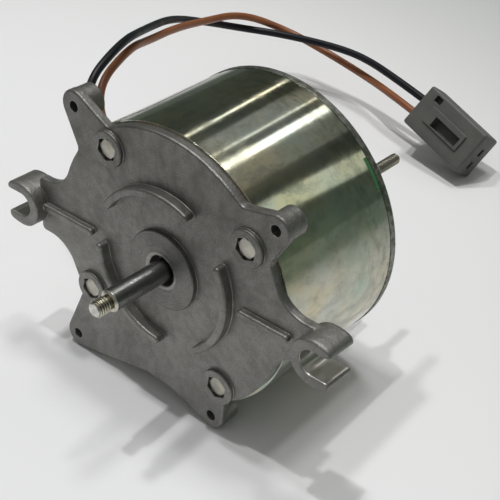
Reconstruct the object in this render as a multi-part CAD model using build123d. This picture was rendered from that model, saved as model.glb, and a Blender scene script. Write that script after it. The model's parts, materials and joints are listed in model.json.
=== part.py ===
from build123d import *
import math
import os

# Motor body lengths, counted along Y from the front face of the flange
flange_thickness = 3.2
can_length = 54.2
rear_plate_thickness = 3.2

# Motor body radii
can_radius = 52.0
can_wall = 2.0
disc_inset = 1.0
rear_plate_overhang = 0.2
rear_plate_round = 0.7

# Flange lugs, in the order upper left, upper right, lower right, lower left. The reach is from the disc's
# edge to the hole, and the foot angles are where the tab leaves the disc
lug_angles = (132.79, 37.83, -67.07, -131.80)
lug_reaches = (11.41, 8.51, 5.46, 18.76)
lug_first_foot_angles = (121.0, 27.5, -88.0, -145.5)
lug_last_foot_angles = (144.0, 49.5, -57.0, -100.0)
lug_tip_radii = (5.9, 5.2, 5.2, 5.6)
lug_hole_radius = 2.05
lug_boss_inset = 0.2
lug_boss_length = 8.9
lug_can_gap = 0.1
lug_blend = 3.0
flange_round = 0.8

# Hooks at both sides of the flange, on arms of unlike width; each reach is counted from the disc's edge
hook_reach = 16.8
hook_radius = 8.7
jaw_length = 6.9
hook_front = -5.6
hook_length = 12.0
hook_round = 0.6
slot_radius = 4.6
jaw_round = 1.5
left_hook_height = -1.3
left_arm_reach = 12.5
left_arm_top = 10.0
left_arm_bottom = -12.3
left_arm_round = 2.0
right_arm_reach = 15.8
right_arm_half_width = 8.2
arm_blend = 13.0

# Front hub, ribs and screw bosses
hub_radius = 15.0
hub_height = 2.1
hub_round = 0.6
shaft_hole_radius = 6.15
shaft_hole_chamfer = 1.0
arc_rib_radius = 29.3
arc_rib_width = 3.0
arc_rib_height = 4.0
arc_rib_round = 0.9
arc_rib_span = 80.0
arc_rib_count = 3
arc_rib_angle = 106.5
left_rib_reach = 9.0
left_rib_length = 26.0
left_rib_height = -0.4
right_rib_reach = 4.4
right_rib_length = 21.4
side_rib_width = 2.7
side_rib_height = 2.3
side_rib_round = 0.8
screw_boss_radius = 6.8
screw_boss_height = 1.5
screw_boss_round = 0.5
rear_boss_radius = 5.0
rear_boss_length = 2.8
spigot_depth = 2.0
spigot_wall = 2.0
spigot_clearance = 0.05
root_share = 0.5

# Through bolts and lock nuts
bolt_inset = 5.5
bolt_first_angle = 35.0
bolt_count = 4
bolt_radius = 2.0
bolt_hole_clearance = 0.2
bolt_free_end = 12.9
bolt_end_chamfer = 0.4
head_flats = 7.0
head_height = 2.8
head_sink = 1.2
head_chamfer = 0.45
head_chamfer_width = 0.9
head_turn = 20.0
pocket_clearance = 0.4
nut_height = 3.2
nut_collar_height = 1.8
nut_collar_radius = 3.1
nut_clearance = 0.05
hex_sides = 6

# Shaft
shaft_radius = 4.0
shaft_reach = 26.2
shaft_chamfer = 0.5
stub_radius = 3.0
stub_length = 6.4
stub_chamfer = 0.7
undercut_radius = 2.45
undercut_width = 1.2
core_seat_radius = 5.0
groove_radius = 3.55
groove_width = 0.9
ring_clearance = 0.05
ring_outer_radius = 5.5
rear_end_inset = 0.4

# Ball bearings
bearing_outer_radius = 11.0
bearing_width = 7.0
bearing_pitch_radius = 7.5
ball_radius = 1.98
ball_count = 7
race_clearance = 0.07
inner_land_radius = 6.2
outer_land_radius = 8.8
cage_wall = 1.5
cage_width = 5.2
pocket_gap = 0.06
front_pocket_floor = 3.1
housing_radius = 14.5
housing_overlap = 0.4
cup_wall = 1.5
spring_washer_thickness = 0.6
spring_washer_width = 1.6
spring_washer_inset = 0.2

# Magnets
magnet_count = 4
magnet_first_angle = 80.0
magnet_thickness = 7.5
magnet_front_gap = 6.8
magnet_rear_gap = 11.4
magnet_span = 64.0
bond_gap = 0.05
spacer_thickness = 1.0
spacer_end_angle = 0.6

# Armature
air_gap = 0.65
core_front_gap = 1.9
core_rear_gap = 6.3
slot_count = 17
slot_floor_depth = 15.3
slot_top_depth = 6.6
tooth_width = 4.54
slot_mouth = 2.6
liner_thickness = 0.4
end_insulator_thickness = 0.6
end_turn_inner_depth = 18.3
end_turn_outer_depth = 3.0
end_turn_front = 4.9
end_turn_rear = 5.4
end_turn_round = 2.0

# Commutator
commutator_rear_gap = 2.4
commutator_length = 12.5
commutator_radius = 13.0
commutator_hub_radius = 10.0
bar_gap = 0.7
riser_radius = 15.5
riser_length = 2.0

# Brush gear
brush_angles = (80.0, 170.0)
brush_width = 6.0
brush_depth = 7.0
brush_length = 13.0
brush_gap = 0.05
holder_clearance = 0.1
holder_wall = 0.8
holder_start = 15.5
holder_length = 20.0
spring_radius = 2.2
spring_wire_radius = 0.3
spring_turns = 6
spring_end_gap = 0.35

# Brush card and what it carries
card_thickness = 1.6
card_inner_radius = 17.5
card_edge_gap = 0.3
card_bolt_clearance = 0.4
tab_angle = 36.0
tab_width = 11.6
tab_inset = 0.1
notch_side_gap = 0.15
choke_angles = (260.0, 350.0)
choke_radius = 2.6
choke_length = 13.0
choke_rod_radius = 1.5
choke_rod_length = 18.0
choke_place = 32.0
capacitor_angle = 305.0
capacitor_place = 28.0
capacitor_size = (5.0, 11.0, 8.5)
eyelet_radius = 2.0
eyelet_height = 0.8
eyelet_inset = 8.5
tail_radius = 0.9
tail_bend = 2.2

# Lead exit
exit_angle = 190.0
exit_setback = 6.4
lead_radius = 1.75
lead_pitch = 6.0
grommet_length = 12.6
grommet_width = 6.4
lip_overhang = 1.5
lip_height = 2.2
inner_lip_height = 1.6
grommet_depth = 4.4
exit_run = 18.0
entry_run = 20.0

# Connector lying behind the motor, set by the middle of its wire face and two directions
connector_face = (-25.0, 193.0, -18.5)
connector_along = (0.944, -0.202, -0.261)
connector_normal = (-0.02, -0.824, 0.566)
connector_length = 37.0
connector_width = 21.0
connector_height = 13.0
connector_round = 1.2
cavity_width = 3.8
cavity_height = 2.4
cavity_depth = 22.0
contact_clearance = 0.1
contact_wall = 0.5
contact_length = 14.0
contact_inset = 1.0
latch_length = 22.0
latch_width = 8.0
latch_start = 8.0
latch_recess = 1.2
latch_thickness = 1.4
latch_rise = 0.8
seal_radius = 2.9
seal_reach = 1.5
seal_depth = 3.0
seal_black_offset = 2.4
seal_brown_offset = -4.8

# Points that the leads pass by between the grommet and the connector
black_route = [
    (-84.5, 46.0, -7.0),
    (-94.0, 49.5, 17.0),
    (-100.5, 77.0, 26.0),
    (-116.5, 107.0, 17.5),
    (-132.0, 138.5, 8.0),
    (-140.5, 166.5, -4.5),
    (-133.5, 190.5, -13.5),
    (-114.5, 199.0, -13.5),
    (-88.0, 204.0, -12.5),
    (-65.5, 204.0, -16.0),
]
brown_route = [
    (-83.0, 53.0, -5.5),
    (-96.5, 58.0, 12.5),
    (-105.0, 85.5, 19.0),
    (-118.0, 110.5, 10.5),
    (-126.0, 134.5, 6.0),
    (-133.5, 161.0, -1.0),
    (-133.0, 189.5, -5.0),
    (-116.0, 207.0, -15.0),
    (-90.0, 206.5, -19.5),
    (-66.0, 205.5, -23.0),
]
bend_share = 0.45

# How far cuts run past what they cut, and how near two points count as one
overrun = 1.0
match = 0.01

full_turn = 360.0
half_turn = 180.0
quarter_turn = 90.0

# Stations that follow from the lengths above
can_end = flange_thickness + can_length
rear_face = can_end + rear_plate_thickness
can_inner_radius = can_radius - can_wall
disc_radius = can_radius - disc_inset
hook_center = disc_radius + hook_reach
hook_tip = hook_center + jaw_length
bolt_circle_radius = can_inner_radius - bolt_inset
bolt_seat = head_height + head_sink - screw_boss_height
nut_end = rear_face + nut_height + nut_collar_height
bolt_end = nut_end + bolt_free_end
front_bearing_end = front_pocket_floor + bearing_width
rear_bearing_start = can_end + ring_clearance
rear_bearing_end = rear_bearing_start + bearing_width
cup_floor = rear_bearing_end + spring_washer_thickness
commutator_end = can_end - commutator_rear_gap
commutator_start = commutator_end - commutator_length
magnet_start = flange_thickness + magnet_front_gap
magnet_end = can_end - magnet_rear_gap
core_start = front_bearing_end + core_front_gap
core_end = commutator_start - core_rear_gap
core_radius = can_inner_radius - bond_gap - magnet_thickness - air_gap
slot_floor_radius = core_radius - slot_floor_depth
slot_top_radius = core_radius - slot_top_depth
end_turn_inner_radius = core_radius - end_turn_inner_depth
end_turn_outer_radius = core_radius - end_turn_outer_depth
card_front = can_end - card_thickness
exit_station = can_end - exit_setback
eyelet_place = can_inner_radius - eyelet_inset
holder_outer_depth = brush_depth + 2 * holder_clearance + 2 * holder_wall
brush_station = card_front - holder_outer_depth / 2


def polar(radius, angle):
    turn = math.radians(angle)
    return (radius * math.cos(turn), radius * math.sin(turn))


def around(count, first=0.0):
    return [first + full_turn * step / count for step in range(count)]


def between(sketch, front, back):
    return extrude(Plane.XZ.offset(-back) * sketch, amount=back - front)


def tube(inner, outer, front, back):
    return between(Circle(outer) - Circle(inner), front, back)


def turned(*points):
    return revolve(make_face(Polyline(*points, close=True)), axis=Axis.Y)


def sector(inner, outer, start, span):
    reach = outer / math.cos(math.radians(span / 4)) + overrun
    corners = [polar(reach, start + span * step / 2) for step in range(3)]
    return (Circle(outer) - Circle(inner)) & make_face(Polyline((0, 0), *corners, close=True))


def at(x, z):
    return Pos(x, 0, z)


def bolt_places():
    return [polar(bolt_circle_radius, angle) for angle in around(bolt_count, bolt_first_angle)]


def front_rounded(solid, radius):
    return fillet(solid.edges().group_by(Axis.Y)[0], radius)


def save(name, pieces):
    shapes = pieces if isinstance(pieces, list) else [pieces]
    solids = [solid for shape in shapes for solid in shape.solids()]
    group = Compound(label=name, children=solids) if len(solids) > 1 else solids[0]
    group.label = name
    export_step(group, "parts/" + name + ".step")
    print(name, len(solids), round(sum(solid.volume for solid in solids), 2))


# Front flange: plate outline with lugs and side arms
def lug_tab(angle, reach, first_foot, last_foot, radius):
    rim_line = Line(polar(disc_radius, first_foot), polar(disc_radius, last_foot))
    tip = Pos(*polar(disc_radius + reach, angle)) * Circle(radius)
    return make_hull(tip.edges() + rim_line.edges())


def block(left, right, bottom, top):
    return Pos((left + right) / 2, (bottom + top) / 2) * Rectangle(right - left, top - bottom)


def rim_corners(outline, lowest, highest):
    corners = [v for v in outline.vertices() if abs(math.hypot(v.X, v.Y) - disc_radius) < match]
    return [v for v in corners if lowest < abs(v.Y) < highest]


def flange_outline():
    left_arm = block(-disc_radius - left_arm_reach, 0, left_arm_bottom, left_arm_top)
    left_arm = fillet(left_arm.vertices().group_by(Axis.X)[0], left_arm_round)
    right_arm_end = disc_radius + right_arm_reach
    right_arm = block(0, right_arm_end, -right_arm_half_width, right_arm_half_width)
    outline = Circle(disc_radius) + left_arm + right_arm
    for lug in lugs:
        outline = outline + lug_tab(*lug)
    widest = max(left_arm_top, -left_arm_bottom, right_arm_half_width) + match
    outline = fillet(rim_corners(outline, widest, disc_radius), lug_blend)
    return fillet(rim_corners(outline, 0, widest), arm_blend)


def hook_slot():
    run = hook_tip - hook_center + overrun
    mouth = Pos(hook_center + run / 2, 0) * Rectangle(run, 2 * slot_radius)
    return Pos(hook_center, 0) * Circle(slot_radius) + mouth


def hook():
    outer_arc = ThreePointArc((hook_center, hook_radius), (hook_center - hook_radius, 0),
                              (hook_center, -hook_radius))
    lower_jaw = Polyline((hook_center, -hook_radius), (hook_tip, -hook_radius), (hook_tip, -slot_radius),
                         (hook_center, -slot_radius))
    inner_arc = ThreePointArc((hook_center, -slot_radius), (hook_center - slot_radius, 0),
                              (hook_center, slot_radius))
    upper_jaw = Polyline((hook_center, slot_radius), (hook_tip, slot_radius), (hook_tip, hook_radius),
                         (hook_center, hook_radius))
    jaws = make_face(outer_arc.edges() + lower_jaw.edges() + inner_arc.edges() + upper_jaw.edges())
    body = between(jaws, hook_front, hook_front + hook_length)
    body = fillet(body.edges().filter_by(Axis.Y).group_by(Axis.X)[-1], jaw_round)
    ends = body.edges().group_by(Axis.Y)
    return fillet(ends[0] + ends[-1], hook_round)


def arc_rib(angle):
    outer = arc_rib_radius + arc_rib_width / 2
    band = sector(outer - arc_rib_width, outer, angle - arc_rib_span / 2, arc_rib_span)
    for side in (-1, 1):
        end = Pos(*polar(arc_rib_radius, angle + side * arc_rib_span / 2))
        band = band + end * Circle(arc_rib_width / 2)
    return front_rounded(between(band, -arc_rib_height, root), arc_rib_round)


def side_rib(side, reach, length, height):
    middle = disc_radius + reach - length / 2
    shape = Pos(side * middle, height) * SlotOverall(length, side_rib_width)
    return front_rounded(between(shape, -side_rib_height, root), side_rib_round)


def hexagon(flats, turn):
    return RegularPolygon(flats / 2, hex_sides, major_radius=False, rotation=turn)


def front_flange():
    plate = front_rounded(between(flange_outline(), 0, flange_thickness), flange_round)
    slot = between(hook_slot(), hook_front - overrun, hook_front + hook_length + overrun)
    left = at(0, left_hook_height)
    plate = plate - slot - left * mirror(slot, about=Plane.YZ)
    adds = [hook(), left * mirror(hook(), about=Plane.YZ)]
    adds.append(front_rounded(between(Circle(hub_radius), -hub_height, root), hub_round))
    adds.extend(arc_rib(angle) for angle in around(arc_rib_count, arc_rib_angle))
    adds.append(side_rib(-1, left_rib_reach, left_rib_length, left_rib_height))
    adds.append(side_rib(1, right_rib_reach, right_rib_length, 0))
    spigot = can_inner_radius - spigot_clearance
    adds.append(tube(spigot - spigot_wall, spigot, root, flange_thickness + spigot_depth))
    adds.append(between(Circle(housing_radius), root, front_bearing_end + housing_overlap))
    cuts = []
    for x, z in bolt_places():
        boss = between(Circle(screw_boss_radius), -screw_boss_height, root)
        adds.append(at(x, z) * front_rounded(boss, screw_boss_round))
        adds.append(at(x, z) * between(Circle(rear_boss_radius), root, flange_thickness + rear_boss_length))
        pocket = hexagon(head_flats + 2 * pocket_clearance, head_turn)
        cuts.append(at(x, z) * between(pocket, -screw_boss_height - overrun, bolt_seat))
        hole = Circle(bolt_radius + bolt_hole_clearance)
        cuts.append(at(x, z) * between(hole, 0, flange_thickness + rear_boss_length + overrun))
    for angle, reach, first_foot, last_foot, radius in lugs:
        x, z = polar(disc_radius + reach, angle)
        boss = at(x, z) * between(Circle(radius - lug_boss_inset), root, lug_boss_length)
        boss_end = lug_boss_length + overrun
        adds.append(boss - between(Circle(can_radius + lug_can_gap), flange_thickness, boss_end))
        cuts.append(at(x, z) * between(Circle(lug_hole_radius), -overrun, boss_end))
    housing_end = front_bearing_end + housing_overlap + overrun
    cuts.append(between(Circle(bearing_outer_radius), front_pocket_floor, housing_end))
    top = -hub_height - overrun
    mouth = shaft_hole_radius + shaft_hole_chamfer + overrun
    cuts.append(between(Circle(shaft_hole_radius), top, front_pocket_floor + overrun))
    cuts.append(turned((0, top), (mouth, top), (shaft_hole_radius, shaft_hole_chamfer - hub_height),
                       (0, shaft_hole_chamfer - hub_height)))
    return plate.fuse(*adds).cut(*cuts)


# Can, rear plate and the bolts that hold the motor together
def radial_frame(angle, station):
    x, z = polar(1, angle)
    return Plane(origin=(0, station, 0), x_dir=(0, 1, 0), z_dir=(x, 0, z))


exit_frame = radial_frame(exit_angle, exit_station) * Rot(0, 0, quarter_turn)


def stator_can():
    can = tube(can_inner_radius, can_radius, flange_thickness, can_end)
    notch = radial_frame(tab_angle, can_end) * Rectangle(
        2 * (card_thickness + tab_inset), tab_width + 2 * notch_side_gap)
    exit_slot = exit_frame * SlotOverall(grommet_length, grommet_width)
    reach = can_radius + overrun
    return can - extrude(notch, amount=reach) - extrude(exit_slot, amount=reach)


def rear_plate():
    edge = can_radius + rear_plate_overhang
    cup = bearing_outer_radius + cup_wall
    plate = turned((0, cup_floor), (bearing_outer_radius, cup_floor), (bearing_outer_radius, can_end),
                   (edge, can_end), (edge, rear_face - rear_plate_round),
                   (edge - rear_plate_round, rear_face), (cup, rear_face), (cup, cup_floor + cup_wall),
                   (0, cup_floor + cup_wall))
    hole = between(Circle(bolt_radius + bolt_hole_clearance), can_end - overrun, rear_face + overrun)
    return plate.cut(*[at(x, z) * hole for x, z in bolt_places()])


def through_bolt():
    top = bolt_seat - head_height
    corner = head_flats / 2 / math.cos(math.pi / hex_sides)
    crown = turned((0, top), (corner - head_chamfer_width, top), (corner, top + head_chamfer),
                   (corner, bolt_seat), (0, bolt_seat))
    head = between(hexagon(head_flats, head_turn), top, bolt_seat) & crown
    shank = turned((0, top + head_chamfer), (bolt_radius, top + head_chamfer),
                   (bolt_radius, bolt_end - bolt_end_chamfer), (bolt_radius - bolt_end_chamfer, bolt_end),
                   (0, bolt_end))
    return head + shank


def lock_nut():
    body = between(hexagon(head_flats, head_turn), rear_face, rear_face + nut_height)
    body = body + between(Circle(nut_collar_radius), rear_face, nut_end)
    return body - between(Circle(bolt_radius + nut_clearance), rear_face - overrun, nut_end + overrun)


# Shaft and bearings
def motor_shaft():
    tip = -shaft_reach - stub_length
    neck = -shaft_reach - undercut_width
    groove_start = front_pocket_floor - groove_width
    tail = rear_bearing_end - rear_end_inset
    return turned(
        (0, tip), (stub_radius - stub_chamfer, tip), (stub_radius, tip + stub_chamfer),
        (stub_radius, neck), (undercut_radius, neck), (undercut_radius, -shaft_reach),
        (shaft_radius - shaft_chamfer, -shaft_reach), (shaft_radius, shaft_chamfer - shaft_reach),
        (shaft_radius, groove_start), (groove_radius, groove_start), (groove_radius, front_pocket_floor),
        (shaft_radius, front_pocket_floor), (shaft_radius, front_bearing_end),
        (core_seat_radius, front_bearing_end),
        (core_seat_radius, commutator_end), (shaft_radius, commutator_end),
        (shaft_radius, tail - shaft_chamfer), (shaft_radius - shaft_chamfer, tail), (0, tail))


def bearing_ring(inner, outer, start):
    middle = start + bearing_width / 2
    section = Pos((inner + outer) / 2, middle) * Rectangle(outer - inner, bearing_width)
    race = Pos(bearing_pitch_radius, middle) * Circle(ball_radius + race_clearance)
    return revolve(section - race, axis=Axis.Y)


def ball_places(start):
    spots = [polar(bearing_pitch_radius, angle) for angle in around(ball_count)]
    return [Pos(x, start + bearing_width / 2, z) for x, z in spots]


def bearing_cage(start):
    front = start + (bearing_width - cage_width) / 2
    half_wall = cage_wall / 2
    ring = tube(bearing_pitch_radius - half_wall, bearing_pitch_radius + half_wall,
                front, front + cage_width)
    pocket = Circle(ball_radius + pocket_gap)
    holes = [radial_frame(angle, start + bearing_width / 2) * pocket for angle in around(ball_count)]
    return ring.cut(*[extrude(hole, amount=bearing_outer_radius) for hole in holes])


# Magnets and armature
def magnet(angle):
    outer = can_inner_radius - bond_gap
    arc = sector(outer - magnet_thickness, outer, angle - magnet_span / 2, magnet_span)
    return between(arc, magnet_start, magnet_end)


def magnet_spacer(angle):
    outer = can_inner_radius - bond_gap
    span = full_turn / magnet_count - magnet_span - 2 * spacer_end_angle
    arc = sector(outer - spacer_thickness, outer, angle - span / 2, span)
    return between(arc, magnet_start, magnet_end)


def slot_end(radius, inset):
    half_pitch = radius * math.sin(math.pi / slot_count)
    return Pos(radius, 0) * Circle(half_pitch - tooth_width / 2 - inset)


def slot_shape(inset):
    floor = slot_end(slot_floor_radius, inset)
    top = slot_end(slot_top_radius, inset)
    return make_hull(floor.edges() + top.edges())


def lamination():
    mouth_reach = core_radius - slot_top_radius + overrun
    mouth = Pos(slot_top_radius + mouth_reach / 2, 0) * Rectangle(mouth_reach, slot_mouth)
    slot = slot_shape(0) + mouth
    sheet = Circle(core_radius) - Circle(core_seat_radius)
    return sheet - [Rot(0, 0, angle) * slot for angle in around(slot_count)]


def end_turn(front, back):
    width = end_turn_outer_radius - end_turn_inner_radius
    section = Pos(end_turn_inner_radius + width / 2, (front + back) / 2) * RectangleRounded(
        width, back - front, end_turn_round)
    return revolve(section, axis=Axis.Y)


def armature_winding():
    front = core_start - end_insulator_thickness
    rear = core_end + end_insulator_thickness
    bars = [Rot(0, 0, angle) * slot_shape(liner_thickness) for angle in around(slot_count)]
    filled = [between(bar, front - end_turn_front / 2, rear + end_turn_rear / 2) for bar in bars]
    return end_turn(front - end_turn_front, front).fuse(end_turn(rear, rear + end_turn_rear), *filled)


def commutator_bars():
    slits = [Rot(0, 0, angle) * Pos(riser_radius / 2, 0) * Rectangle(riser_radius + overrun, bar_gap)
             for angle in around(slot_count, half_turn / slot_count)]
    track = Circle(commutator_radius) - Circle(commutator_hub_radius) - slits
    riser = Circle(riser_radius) - Circle(commutator_hub_radius) - slits
    riser_end = commutator_start + riser_length
    return between(track, riser_end, commutator_end) + between(riser, commutator_start, riser_end)


# Brush gear: local X runs outward along the brush, local Z along the motor axis
def brush_frame(angle):
    x, z = polar(1, angle)
    return Plane(origin=(0, brush_station, 0), x_dir=(x, 0, z), z_dir=(0, 1, 0))


def brush(angle):
    start = commutator_radius - overrun
    end = commutator_radius + brush_gap + brush_length
    bar = Pos((start + end) / 2, 0, 0) * Box(end - start, brush_width, brush_depth)
    worn_face = Cylinder(commutator_radius + brush_gap, brush_depth + 2 * overrun)
    return brush_frame(angle) * (bar - worn_face)


def brush_holder(angle):
    end = holder_start + holder_length
    wide = brush_width + 2 * holder_clearance
    deep = brush_depth + 2 * holder_clearance
    middle = Pos((holder_start + end) / 2, 0, 0)
    box = middle * Box(holder_length, wide + 2 * holder_wall, holder_outer_depth)
    return brush_frame(angle) * (box - Pos(-holder_wall, 0, 0) * middle * Box(holder_length, wide, deep))


def brush_spring(angle):
    start = commutator_radius + brush_gap + brush_length + spring_wire_radius + spring_end_gap
    end = holder_start + holder_length - holder_wall - spring_wire_radius - spring_end_gap
    path = Helix((end - start) / spring_turns, end - start, spring_radius)
    wire = Plane(origin=path @ 0, z_dir=path % 0) * Circle(spring_wire_radius)
    coil = sweep(wire, path=path, is_frenet=True)
    return brush_frame(angle) * Pos(start, 0, 0) * Rot(0, quarter_turn, 0) * coil


def brush_card():
    card = Circle(can_inner_radius - card_edge_gap) - Circle(card_inner_radius)
    for x, z in bolt_places():
        card = card - Pos(x, z) * Circle(bolt_radius + card_bolt_clearance)
    tab_reach = can_radius - tab_inset - card_inner_radius
    tab = Rot(0, 0, tab_angle) * Pos(card_inner_radius + tab_reach / 2, 0) * Rectangle(tab_reach, tab_width)
    clear = Pos(*polar(bolt_circle_radius, bolt_first_angle)) * Circle(bolt_radius + card_bolt_clearance)
    outside = Circle(can_radius - tab_inset) - Circle(can_inner_radius - 2 * card_edge_gap)
    return between(card + (tab & outside) - clear, card_front, can_end)


def choke(angle, radius, length):
    x, z = polar(choke_place, angle)
    along_x, along_z = polar(1, angle + half_turn / 2)
    spot = Plane(origin=(x, card_front - choke_radius, z), z_dir=(along_x, 0, along_z))
    return spot * Cylinder(radius, length)


def choke_coil(angle):
    return choke(angle, choke_radius, choke_length) - choke(angle, choke_rod_radius, choke_length + overrun)


def capacitor():
    radial, across, tall = capacitor_size
    x, z = polar(1, capacitor_angle)
    spot = Plane(origin=(0, card_front - tall / 2, 0), x_dir=(x, 0, z), z_dir=(0, 1, 0))
    return spot * Pos(capacitor_place, 0, 0) * Box(radial, across, tall)


# Lead exit through the side of the can
def exit_point(radius, side):
    x, z = polar(radius, exit_angle)
    along_x, along_z = polar(side * lead_pitch / 2, exit_angle + half_turn / 2)
    return (x + along_x, exit_station, z + along_z)


def slot_plug(length, width, inner, outer):
    shape = exit_frame * SlotOverall(length, width)
    return extrude(shape, amount=outer) - extrude(shape, amount=inner)


def lead_grommet():
    outer = can_radius + lip_height
    inner = can_inner_radius - grommet_depth
    lip = slot_plug(grommet_length + 2 * lip_overhang, grommet_width + 2 * lip_overhang, inner, outer)
    neck = slot_plug(grommet_length, grommet_width, inner, outer)
    past_end = can_end + overrun
    shell = tube(can_inner_radius - inner_lip_height, can_radius, 0, past_end)
    core = between(Circle(can_inner_radius - inner_lip_height), 0, past_end)
    ledge = tube(can_inner_radius - inner_lip_height, can_inner_radius, 0, past_end)
    return (lip - shell - core) + (lip & ledge) + neck


def lead_tail(side):
    start = exit_point(can_inner_radius - grommet_depth, side)
    stop = exit_point(eyelet_place, side)
    path = FilletPolyline(start, stop, (stop[0], card_front, stop[2]), radius=tail_bend)
    return sweep(Plane(origin=path @ 0, z_dir=path % 0) * Circle(tail_radius), path=path)


def eyelet(side):
    x, station, z = exit_point(eyelet_place, side)
    return at(x, z) * tube(tail_radius + bond_gap, eyelet_radius, card_front - eyelet_height, card_front)


# Leads and connector
connector = Plane(origin=connector_face, x_dir=connector_along, z_dir=connector_normal)


def lead(name, side, route, offset):
    x, z = polar(exit_run, exit_angle)
    first = Vector(*exit_point(can_radius + lip_height, side))
    last = connector.from_local_coords(Vector(-seal_reach, offset, 0))
    ahead = connector.from_local_coords(Vector(-seal_reach - entry_run, offset, 0))
    points = [first, first + Vector(x, 0, z), *[Vector(*point) for point in route], ahead, last]
    runs = [after - before for before, after in zip(points, points[1:])]
    radii = []
    for before, after in zip(runs, runs[1:]):
        half_bend = math.radians(before.get_angle(after)) / 2
        radii.append(bend_share * min(before.length, after.length) / math.tan(half_bend))
    path = FilletPolyline(*points, radius=radii)
    solid = sweep(Plane(origin=path @ 0, z_dir=path % 0) * Circle(lead_radius), path=path)
    swept = math.pi * lead_radius * lead_radius * path.length
    print(name, "length", round(path.length, 1), "least bend", round(min(radii), 1),
          "volume over section times length", round(solid.volume / swept, 4))
    return solid


def connector_housing():
    middle = Pos(connector_length / 2, 0, 0)
    body = middle * Box(connector_length, connector_width, connector_height)
    body = fillet(body.edges().filter_by(Axis.X), connector_round)
    latch_middle = latch_start + latch_length / 2
    recess_size = (latch_length + 2 * latch_thickness, latch_width + 2 * latch_thickness, 2 * latch_recess)
    body = body - Pos(latch_middle, 0, connector_height / 2) * Box(*recess_size)
    latch_height = latch_recess + latch_rise
    latch = Pos(latch_middle, 0, connector_height / 2 - latch_recess + latch_height / 2)
    body = body + latch * Box(latch_length, latch_width, latch_height)
    for offset in (seal_black_offset, seal_brown_offset):
        seat = Plane(origin=(0, offset, 0), z_dir=(1, 0, 0)) * Circle(seal_radius)
        cavity_middle = Pos(connector_length + (overrun - cavity_depth) / 2, offset, 0)
        body = body - extrude(seat, amount=seal_depth)
        body = body - cavity_middle * Box(cavity_depth + overrun, cavity_width, cavity_height)
    return connector * body


def wire_seal(offset):
    shape = Plane(origin=(-seal_reach, offset, 0), z_dir=(1, 0, 0)) * Circle(seal_radius)
    return connector * extrude(shape, amount=seal_reach + seal_depth)


def contact(offset):
    wide = cavity_width - 2 * contact_clearance
    tall = cavity_height - 2 * contact_clearance
    spot = Pos(connector_length - contact_inset - contact_length / 2, offset, 0)
    sleeve = Box(contact_length, wide, tall)
    sleeve = sleeve - Box(contact_length + overrun, wide - 2 * contact_wall, tall - 2 * contact_wall)
    return connector * (spot * sleeve)


os.makedirs("parts", exist_ok=True)
lugs = list(zip(lug_angles, lug_reaches, lug_first_foot_angles, lug_last_foot_angles, lug_tip_radii))
root = flange_thickness * root_share
magnet_angles = around(magnet_count, magnet_first_angle)
gap_angles = around(magnet_count, magnet_first_angle + half_turn / magnet_count)

save("front_flange", front_flange())
save("stator_can", stator_can())
save("rear_plate", rear_plate())
save("through_bolts", [at(x, z) * through_bolt() for x, z in bolt_places()])
save("lock_nuts", [at(x, z) * lock_nut() for x, z in bolt_places()])

save("motor_shaft", motor_shaft())
save("retaining_ring", tube(groove_radius + ring_clearance, ring_outer_radius,
                            front_pocket_floor - groove_width + ring_clearance, front_pocket_floor))
for end, start in (("front", front_pocket_floor), ("rear", rear_bearing_start)):
    save(end + "_bearing_outer_ring", bearing_ring(outer_land_radius, bearing_outer_radius, start))
    save(end + "_bearing_inner_ring", bearing_ring(shaft_radius, inner_land_radius, start))
    save(end + "_bearing_balls", [place * Sphere(ball_radius) for place in ball_places(start)])
    save(end + "_bearing_cage", bearing_cage(start))
save("rear_spacer", tube(shaft_radius, inner_land_radius, commutator_end, rear_bearing_start))
washer_outer = bearing_outer_radius - spring_washer_inset
save("preload_washer", tube(washer_outer - spring_washer_width, washer_outer, rear_bearing_end, cup_floor))

save("magnets", [magnet(angle) for angle in magnet_angles])
save("magnet_spacers", [magnet_spacer(angle) for angle in gap_angles])
save("armature_core", between(lamination(), core_start, core_end))
save("end_insulators", [between(lamination(), core_start - end_insulator_thickness, core_start),
                        between(lamination(), core_end, core_end + end_insulator_thickness)])
save("armature_winding", armature_winding())
save("commutator_hub", tube(core_seat_radius, commutator_hub_radius, commutator_start, commutator_end))
save("commutator_bars", commutator_bars())

save("brush_card", brush_card())
for letter, angle in zip("ab", brush_angles):
    save("brush_" + letter, brush(angle))
    save("brush_spring_" + letter, brush_spring(angle))
save("brush_holders", [brush_holder(angle) for angle in brush_angles])
save("choke_coils", [choke_coil(angle) for angle in choke_angles])
save("choke_rods", [choke(angle, choke_rod_radius, choke_rod_length) for angle in choke_angles])
save("capacitor", capacitor())
save("lead_eyelets", [eyelet(side) for side in (-1, 1)])
save("lead_tails", [lead_tail(side) for side in (-1, 1)])
save("lead_grommet", lead_grommet())

save("lead_black", lead("lead_black", 1, black_route, seal_black_offset))
save("lead_brown", lead("lead_brown", -1, brown_route, seal_brown_offset))
save("connector_housing", connector_housing())
save("wire_seals", [wire_seal(offset) for offset in (seal_black_offset, seal_brown_offset)])
save("connector_contacts", [contact(offset) for offset in (seal_black_offset, seal_brown_offset)])
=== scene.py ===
import bpy
import bmesh
import json
import math
from mathutils import Matrix, Vector


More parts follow.
